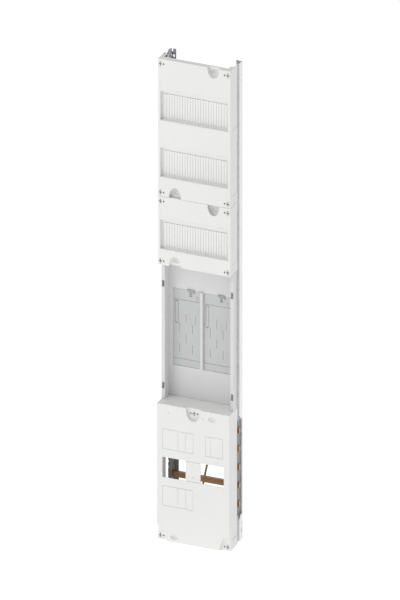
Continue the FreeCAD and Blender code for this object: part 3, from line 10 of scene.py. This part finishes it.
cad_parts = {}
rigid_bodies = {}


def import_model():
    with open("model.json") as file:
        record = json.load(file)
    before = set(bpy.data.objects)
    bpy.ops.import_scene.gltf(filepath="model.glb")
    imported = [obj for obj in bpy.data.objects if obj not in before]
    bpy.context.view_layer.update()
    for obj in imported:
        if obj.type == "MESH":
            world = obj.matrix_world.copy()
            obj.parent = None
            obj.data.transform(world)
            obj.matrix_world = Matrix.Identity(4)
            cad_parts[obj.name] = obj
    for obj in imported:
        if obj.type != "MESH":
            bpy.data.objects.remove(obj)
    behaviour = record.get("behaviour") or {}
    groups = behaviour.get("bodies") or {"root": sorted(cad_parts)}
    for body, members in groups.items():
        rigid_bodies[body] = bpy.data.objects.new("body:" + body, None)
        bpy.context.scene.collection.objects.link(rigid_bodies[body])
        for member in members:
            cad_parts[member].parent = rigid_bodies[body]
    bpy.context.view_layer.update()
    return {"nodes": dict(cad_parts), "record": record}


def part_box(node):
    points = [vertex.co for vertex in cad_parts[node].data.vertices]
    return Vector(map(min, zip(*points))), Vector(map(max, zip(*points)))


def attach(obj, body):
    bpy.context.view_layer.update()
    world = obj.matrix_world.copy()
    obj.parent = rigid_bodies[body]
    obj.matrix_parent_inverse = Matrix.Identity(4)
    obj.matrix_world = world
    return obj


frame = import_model()
nodes = frame["nodes"]
screw_joints = {joint["child"]: joint for joint in frame["record"]["behaviour"]["joints"]
                if joint["type"] == "hinge"}

# ---- Camera ----------------------------------------------------------------------------------
# A parallel view from the front right and a little above. The wanted picture is squeezed
# sideways, so the camera leans in a sheared holder that draws heights taller than widths.
# The panel itself keeps its true proportions, and every other view shows them.

turn, rise, stretch = math.radians(23.1), math.radians(16.4), 1.515
aim, distance = Vector((0.0203, -0.0455, 0.5382)), 5.0
right = Vector((math.cos(turn), math.sin(turn), 0))
back = Vector((math.sin(turn) * math.cos(rise), -math.cos(turn) * math.cos(rise), math.sin(rise)))
upright = (back.cross(right) + math.sqrt(stretch ** 2 - 1) * back) / stretch
holder = bpy.data.objects.new("camera_holder", None)
bpy.context.scene.collection.objects.link(holder)
lens = bpy.data.cameras.new("camera")
lens.type = "ORTHO"
lens.ortho_scale = 1.908
lens.clip_start, lens.clip_end = 0.5, 60
camera = bpy.data.objects.new("camera", lens)
bpy.context.scene.collection.objects.link(camera)
camera.parent = holder
camera.matrix_parent_inverse = Matrix((
    (*[axis[0] for axis in (right, upright, back)], aim[0] + back[0] * distance),
    (*[axis[1] for axis in (right, upright, back)], aim[1] + back[1] * distance),
    (*[axis[2] for axis in (right, upright, back)], aim[2] + back[2] * distance),
    (0, 0, 0, 1)))
bpy.context.scene.camera = camera
bpy.context.scene.view_settings.view_transform = "Standard"

# ---- Studio ----------------------------------------------------------------------------------
# A plain white floor under an even white surround, with one large soft lamp from the front left.

world = bpy.data.worlds.new("surround")
world.use_nodes = True
world.node_tree.nodes["Background"].inputs["Color"].default_value = (1, 1, 1, 1)
world.node_tree.nodes["Background"].inputs["Strength"].default_value = 0.53
bpy.context.scene.world = world

floor_mesh = bpy.data.meshes.new("floor")
shape = bmesh.new()
bmesh.ops.create_circle(shape, cap_ends=True, segments=64, radius=30)
shape.to_mesh(floor_mesh)
shape.free()
floor = bpy.data.objects.new("floor", floor_mesh)
bpy.context.scene.collection.objects.link(floor)
paint = bpy.data.materials.new("floor_paint")
paint.use_nodes = True
surface = paint.node_tree.nodes["Principled BSDF"]
surface.inputs["Base Color"].default_value = (0.95, 0.95, 0.95, 1)
surface.inputs["Roughness"].default_value = 1.0
surface.inputs["Specular IOR Level"].default_value = 0.0
surface.inputs["Emission Color"].default_value = (1, 1, 1, 1)
surface.inputs["Emission Strength"].default_value = 0.52
floor_mesh.materials.append(paint)

for lamp_name, place, size, power in (("key", (-2.6, -3.4, 2.6), 2.2, 42),
                                      ("top", (0.2, -0.4, 4.2), 2.5, 18)):
    lamp_data = bpy.data.lights.new(lamp_name, "AREA")
    lamp_data.size, lamp_data.energy = size, power
    lamp = bpy.data.objects.new(lamp_name, lamp_data)
    lamp.location = place
    lamp.rotation_euler = (Vector((0, 0, 0.5)) - Vector(place)).to_track_quat("-Z", "Y").to_euler()
    bpy.context.scene.collection.objects.link(lamp)

# ---- Covers ----------------------------------------------------------------------------------
# Three moulded covers of flame-retardant plastic, light grey-white with a fine satin grain.
# They hang on the cover bars by their quarter-turn screws.


def dress(node, material):
    """Gives a finished frame piece its material."""
    mesh = nodes[node].data
    mesh.materials.clear()
    mesh.materials.append(material)


def moulding(name, colour, rough, grain=0.00004, mottle=0.03):
    """Moulded plastic: a soft unevenness of tone, a fine eroded grain and a satin sheen."""
    made = bpy.data.materials.new(name)
    made.use_nodes = True
    tree = made.node_tree
    gloss = tree.nodes["Principled BSDF"]
    where = tree.nodes.new("ShaderNodeTexCoord")
    tone = tree.nodes.new("ShaderNodeTexNoise")
    tone.inputs["Scale"].default_value = 9.0
    tone.inputs["Detail"].default_value = 3.0
    shades = tree.nodes.new("ShaderNodeValToRGB")
    low, high = shades.color_ramp.elements
    low.position, high.position = 0.3, 0.7
    low.color = (*[part * (1 - mottle) for part in colour], 1)
    high.color = (*colour, 1)
    fine = tree.nodes.new("ShaderNodeTexNoise")
    fine.inputs["Scale"].default_value = 1400.0
    fine.inputs["Detail"].default_value = 2.0
    sheen = tree.nodes.new("ShaderNodeMapRange")
    sheen.inputs["To Min"].default_value = rough - 0.06
    sheen.inputs["To Max"].default_value = rough + 0.06
    relief = tree.nodes.new("ShaderNodeBump")
    relief.inputs["Distance"].default_value = grain
    relief.inputs["Strength"].default_value = 0.6
    link = tree.links.new
    link(where.outputs["Object"], tone.inputs["Vector"])
    link(where.outputs["Object"], fine.inputs["Vector"])
    link(tone.outputs["Fac"], shades.inputs["Fac"])
    link(shades.outputs["Color"], gloss.inputs["Base Color"])
    link(fine.outputs["Fac"], sheen.inputs["Value"])
    link(sheen.outputs["Result"], gloss.inputs["Roughness"])
    link(fine.outputs["Fac"], relief.inputs["Height"])
    link(relief.outputs["Normal"], gloss.inputs["Normal"])
    return made


cover_plastic = moulding("cover_plastic", (0.84, 0.84, 0.83), 0.5)
for cover in ("cover_top", "cover_middle", "cover_bottom"):
    dress(cover, cover_plastic)

# ---- Blanking strips -------------------------------------------------------------------------
# Snap-in strips of the covers' plastic, one in each device window. They are moulded with a score
# line every half module, so that they break to length, and painted shade darkens the lines.



def paint_shade_behind(material, start, end, painted_shade_colour, strength=1.0):
    """Paints shade on what lies behind the depth start, fully from the depth end, standing in for
    the shade inside grooves and slots.
    """
    tree = material.node_tree
    where = tree.nodes.new("ShaderNodeTexCoord")
    split = tree.nodes.new("ShaderNodeSeparateXYZ")
    depth = tree.nodes.new("ShaderNodeMapRange")
    depth.inputs["From Min"].default_value = start
    depth.inputs["From Max"].default_value = end
    depth.inputs["To Max"].default_value = strength
    # Painted shade: the shade colour is mixed in over the surface colour by depth.
    shade = tree.nodes.new("ShaderNodeMixRGB")
    shade.inputs["Color2"].default_value = (*painted_shade_colour, 1)
    skin = tree.nodes["Principled BSDF"].inputs["Base Color"]
    tree.links.new(where.outputs["Object"], split.inputs["Vector"])
    tree.links.new(split.outputs["Y"], depth.inputs["Value"])
    tree.links.new(depth.outputs["Result"], shade.inputs["Fac"])
    tree.links.new(skin.links[0].from_socket, shade.inputs["Color1"])
    tree.links.new(shade.outputs["Color"], skin)


strip_front = -0.0345
strip_plastic = moulding("strip_plastic", (0.88, 0.88, 0.87), 0.55)
# Painted shade: the floors of the score lines are darkened to grey.
paint_shade_behind(strip_plastic, strip_front + 0.0003, strip_front + 0.0008, (0.60, 0.60, 0.60))
for number in (1, 2, 3):
    dress(f"blanking_strip_{number}", strip_plastic)

# ---- Cover screws ----------------------------------------------------------------------------
# Quarter-turn screws of pale glass-filled plastic, each with a cross slot and a lug at its end.
# The slot's bottom is darkened with painted shade, down from just under the head's face.

screw_face = -0.0455
screw_plastic = moulding("screw_plastic", (0.74, 0.74, 0.73), 0.45)
# Painted shade: the cross slot is darkened to near black behind the head's face.
paint_shade_behind(screw_plastic, screw_face + 0.0006, screw_face + 0.0014, (0.09, 0.09, 0.09))
for node in nodes:
    if node.startswith("cover_screw"):
        dress(node, screw_plastic)

# ---- Seal holes ------------------------------------------------------------------------------
# Behind the square hole beside each cover screw, through which the sealing wire is threaded, sits
# a small near-black cup of painted shade, so that the hole reads dark. It sits against the back of
# the cover's front wall.

socket_inner, socket_outer, socket_deep, socket_floor = 0.0044, 0.0058, 0.0025, 0.001
wall_back = screw_face + 0.0025
seal_pitch = 0.0115
# Painted shade: near-black cups behind the seal and peg holes make them read dark.
painted_shade_cup_plastic = moulding("painted_shade_cup_plastic", (0.035, 0.035, 0.037), 0.6)


def square_cup(name, x, z, rim=wall_back):
    """A square cup that opens forwards, its rim against the back of a cover's front wall."""
    shape = bmesh.new()
    rings = []
    for half, y in ((socket_inner / 2, rim), (socket_outer / 2, rim),
                    (socket_outer / 2, rim + socket_deep),
                    (socket_inner / 2, rim + socket_deep - socket_floor)):
        rings.append([shape.verts.new((x + across * half, y, z + up * half))
                      for across, up in ((-1, -1), (1, -1), (1, 1), (-1, 1))])
    inner_rim, outer_rim, outer_back, inner_back = rings
    for first, second in ((inner_rim, outer_rim), (outer_rim, outer_back), (inner_back, inner_rim)):
        for corner in range(4):
            after = (corner + 1) % 4
            shape.faces.new((first[corner], first[after], second[after], second[corner]))
    shape.faces.new(outer_back)
    shape.faces.new(inner_back)
    bmesh.ops.recalc_face_normals(shape, faces=shape.faces[:])
    mesh = bpy.data.meshes.new(name)
    shape.to_mesh(mesh)
    shape.free()
    mesh.materials.append(painted_shade_cup_plastic)
    cup = bpy.data.objects.new(name, mesh)
    bpy.context.scene.collection.objects.link(cup)
    return cup


for body, joint in screw_joints.items():
    place_x, _, place_z = joint["pos_m"]
    for side, offset in (("right", seal_pitch), ("left", -seal_pitch)):
        if place_x * offset <= 0:
            cup = square_cup(f"seal_hole_shade_cup_{body}_{side}", place_x + offset, place_z)
            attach(cup, joint["parent"])

# ---- Peg holes -------------------------------------------------------------------------------
# The same near-black cups of painted shade close the two peg holes near the bottom cover's top
# edge from behind, so that the holes read dark.

peg_places, peg_drop, cover_step = (-0.0862, 0.034), 0.0175, 0.009
peg_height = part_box("cover_bottom")[1][2] - peg_drop
for number, place_x in enumerate(peg_places, 1):
    # Painted shade: a near-black cup behind each peg hole.
    cup = square_cup(f"peg_hole_shade_cup_{number}", place_x, peg_height, wall_back - cover_step)
    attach(cup, "cover_bottom")

# ---- Meter tray and carriers -----------------------------------------------------------------
# A white moulded tray, screwed to the profiles, frames two grey plug-in carriers, each with a
# darker sliding latch at its top. Behind the slots sit spring clips of bare copper alloy.

dress("meter_tray", moulding("tray_plastic", (0.74, 0.74, 0.74), 0.55))
carrier_plastic = moulding("carrier_plastic", (0.60, 0.605, 0.605), 0.5)
latch_plastic = moulding("latch_plastic", (0.40, 0.40, 0.405), 0.45)


def drawn_metal(name, colour, rough, along, metal=1.0, spread=0.12):
    """Drawn or rolled metal: streaks that run one way and a slightly uneven shine."""
    made = bpy.data.materials.new(name)
    made.use_nodes = True
    tree = made.node_tree
    gloss = tree.nodes["Principled BSDF"]
    gloss.inputs["Metallic"].default_value = metal
    where = tree.nodes.new("ShaderNodeTexCoord")
    squeeze = tree.nodes.new("ShaderNodeMapping")
    squeeze.inputs["Scale"].default_value = [6 if axis == along else 260 for axis in "XYZ"]
    streaks = tree.nodes.new("ShaderNodeTexNoise")
    streaks.inputs["Scale"].default_value = 1.0
    streaks.inputs["Detail"].default_value = 4.0
    shades = tree.nodes.new("ShaderNodeValToRGB")
    low, high = shades.color_ramp.elements
    low.position, high.position = 0.3, 0.7
    low.color = (*[part * (1 - spread) for part in colour], 1)
    high.color = (*colour, 1)
    sheen = tree.nodes.new("ShaderNodeMapRange")
    sheen.inputs["To Min"].default_value = rough - 0.08
    sheen.inputs["To Max"].default_value = rough + 0.08
    relief = tree.nodes.new("ShaderNodeBump")
    relief.inputs["Distance"].default_value = 0.00003
    relief.inputs["Strength"].default_value = 0.5
    link = tree.links.new
    link(where.outputs["Object"], squeeze.inputs["Vector"])
    link(squeeze.outputs["Vector"], streaks.inputs["Vector"])
    link(streaks.outputs["Fac"], shades.inputs["Fac"])
    link(shades.outputs["Color"], gloss.inputs["Base Color"])
    link(streaks.outputs["Fac"], sheen.inputs["Value"])
    link(sheen.outputs["Result"], gloss.inputs["Roughness"])
    link(streaks.outputs["Fac"], relief.inputs["Height"])
    link(relief.outputs["Normal"], gloss.inputs["Normal"])
    return made


clip_copper = drawn_metal("clip_copper", (0.62, 0.40, 0.26), 0.35, "Z")
for side in ("left", "right"):
    dress(f"meter_carrier_{side}", carrier_plastic)
    dress(f"carrier_latch_{side}", latch_plastic)
    dress(f"contact_clips_{side}", clip_copper)

# ---- Busbars ---------------------------------------------------------------------------------
# Five flat drawn copper bars, slightly tarnished, lie in the notches of two holders of dark
# glass-filled plastic. A screwed-on cap of the same plastic closes each holder.

bar_copper = drawn_metal("bar_copper", (0.60, 0.36, 0.20), 0.38, "X", spread=0.25)
for number in range(1, 6):
    dress(f"busbar_{number}", bar_copper)
holder_plastic = moulding("holder_plastic", (0.36, 0.362, 0.365), 0.5, mottle=0.12)
cap_plastic = moulding("cap_plastic", (0.24, 0.245, 0.25), 0.5, mottle=0.12)
for side in ("left", "right"):
    dress(f"busbar_holder_{side}", holder_plastic)
    dress(f"busbar_cap_{side}", cap_plastic)

# ---- Steel frame -----------------------------------------------------------------------------
# Folded and punched galvanised sheet: the profiles, bars, brackets and rails show the faint
# spangle of the zinc. They are screwed to one another.


def galvanised(name, colour, rough):
    """Zinc-coated sheet: pale crystals of slightly different greys under a dull shine."""
    made = bpy.data.materials.new(name)
    made.use_nodes = True
    tree = made.node_tree
    gloss = tree.nodes["Principled BSDF"]
    gloss.inputs["Metallic"].default_value = 0.75
    where = tree.nodes.new("ShaderNodeTexCoord")
    crystals = tree.nodes.new("ShaderNodeTexVoronoi")
    crystals.inputs["Scale"].default_value = 130.0
    shades = tree.nodes.new("ShaderNodeMixRGB")
    shades.inputs["Color1"].default_value = (*[part * 0.82 for part in colour], 1)
    shades.inputs["Color2"].default_value = (*colour, 1)
    level = tree.nodes.new("ShaderNodeSeparateColor")
    sheen = tree.nodes.new("ShaderNodeMapRange")
    sheen.inputs["To Min"].default_value = rough - 0.07
    sheen.inputs["To Max"].default_value = rough + 0.07
    fine = tree.nodes.new("ShaderNodeTexNoise")
    fine.inputs["Scale"].default_value = 700.0
    relief = tree.nodes.new("ShaderNodeBump")
    relief.inputs["Distance"].default_value = 0.00003
    relief.inputs["Strength"].default_value = 0.4
    link = tree.links.new
    link(where.outputs["Object"], crystals.inputs["Vector"])
    link(where.outputs["Object"], fine.inputs["Vector"])
    link(crystals.outputs["Color"], level.inputs["Color"])
    link(level.outputs["Red"], shades.inputs["Fac"])
    link(shades.outputs["Color"], gloss.inputs["Base Color"])
    link(level.outputs["Green"], sheen.inputs["Value"])
    link(sheen.outputs["Result"], gloss.inputs["Roughness"])
    link(fine.outputs["Fac"], relief.inputs["Height"])
    link(relief.outputs["Normal"], gloss.inputs["Normal"])
    return made


profile_steel = galvanised("profile_steel", (0.62, 0.63, 0.64), 0.5)
sheet_steel = galvanised("sheet_steel", (0.60, 0.61, 0.62), 0.42)
for node in nodes:
    if node.startswith("support_profile"):
        dress(node, profile_steel)
    elif node.startswith(("cover_bar", "rail_bracket", "din_rail", "centre_stay", "earth_bar")):
        dress(node, sheet_steel)

# ---- Small screws ----------------------------------------------------------------------------
# Cold-headed steel screws with a zinc plating, brighter than the sheet they hold. They join the
# rails, bars, holders, caps and earth parts to the frame.

plated = galvanised("plated_steel", (0.68, 0.69, 0.70), 0.32)
for node in ("rail_screws", "bar_screws", "web_screws", "cap_screws", "earth_screws"):
    dress(node, plated)

# ---- Side cheeks -----------------------------------------------------------------------------
# Thin folded steel cheeks on the profiles' flanks, with a white powder coat that shows a faint
# orange-peel.

cheek_coat = moulding("cheek_coat", (0.95, 0.95, 0.95), 0.4, grain=0.00012)
for side in ("left", "right"):
    dress(f"side_cheek_{side}", cheek_coat)

# ---- Protective earth ------------------------------------------------------------------------
# A stranded wire in a green and yellow sheath, crimped into a tinned ring lug at each end.

sheath = bpy.data.materials.new("wire_sheath")
sheath.use_nodes = True
tree = sheath.node_tree
gloss = tree.nodes["Principled BSDF"]
gloss.inputs["Roughness"].default_value = 0.35
where = tree.nodes.new("ShaderNodeTexCoord")
bands = tree.nodes.new("ShaderNodeTexWave")
bands.bands_direction = "DIAGONAL"
bands.inputs["Scale"].default_value = 50.0
bands.inputs["Distortion"].default_value = 0.0
stripe = tree.nodes.new("ShaderNodeValToRGB")
stripe.color_ramp.interpolation = "CONSTANT"
stripe.color_ramp.elements[0].color = (0.09, 0.26, 0.04, 1)
stripe.color_ramp.elements[1].position = 0.6
stripe.color_ramp.elements[1].color = (0.44, 0.45, 0.05, 1)
tree.links.new(where.outputs["Object"], bands.inputs["Vector"])
tree.links.new(bands.outputs["Fac"], stripe.inputs["Fac"])
tree.links.new(stripe.outputs["Color"], gloss.inputs["Base Color"])
dress("earth_wire", sheath)
dress("earth_lugs", drawn_metal("tinned_lug", (0.72, 0.71, 0.68), 0.3, "Z"))
